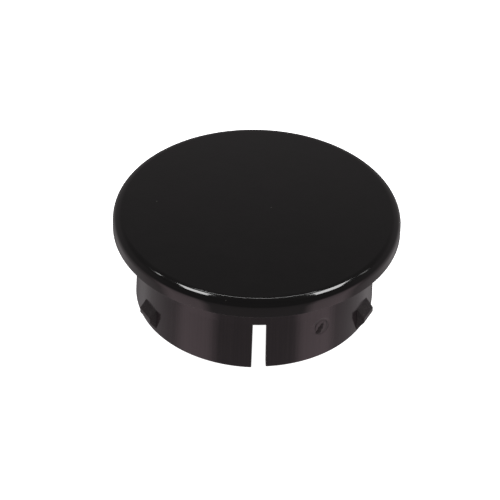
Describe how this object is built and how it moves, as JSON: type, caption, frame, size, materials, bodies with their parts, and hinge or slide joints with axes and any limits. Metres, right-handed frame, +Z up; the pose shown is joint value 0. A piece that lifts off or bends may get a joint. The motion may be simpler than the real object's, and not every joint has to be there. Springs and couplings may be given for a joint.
{
  "type": "snap-in hole cover cap",
  "caption": "Round snap-in cover cap: a flat glossy disc on a short slotted skirt, whose springy fingers carry wedge barbs that hold it in a desk or panel hole.",
  "frame": {"origin": "centre of the skirt's open end, on the surface that the cap stands on", "axes": "+Z up along the cap's axis, from the open end to the disc; -Y through the slot between the left and right fingers; +X towards the right finger"},
  "size_m": [0.042, 0.042, 0.0149],
  "materials": {
    "gloss_face": "polished black moulded plastic",
    "satin_skirt": "semi-gloss black moulded plastic with faint draw lines along the skirt"
  },
  "bodies": {
    "cap": {"cover_disc": "gloss_face", "skirt_collar": "satin_skirt"},
    "right_finger": {"finger_right": "satin_skirt", "barb_right": "satin_skirt", "gate_vestige": "satin_skirt"},
    "rear_finger": {"finger_rear": "satin_skirt", "barb_rear": "satin_skirt"},
    "left_finger": {"finger_left": "satin_skirt", "barb_left": "satin_skirt"}
  },
  "joints": [
    {"name": "right_finger_flex", "type": "slide", "parent": "cap", "child": "right_finger", "axis": [-0.866, 0.5, 0], "range_m": [0, 0.00107], "stiffness_N_per_m": 20000},
    {"name": "rear_finger_flex", "type": "slide", "parent": "cap", "child": "rear_finger", "axis": [0, -1, 0], "range_m": [0, 0.00107], "stiffness_N_per_m": 20000},
    {"name": "left_finger_flex", "type": "slide", "parent": "cap", "child": "left_finger", "axis": [0.866, 0.5, 0], "range_m": [0, 0.00107], "stiffness_N_per_m": 20000}
  ]
}
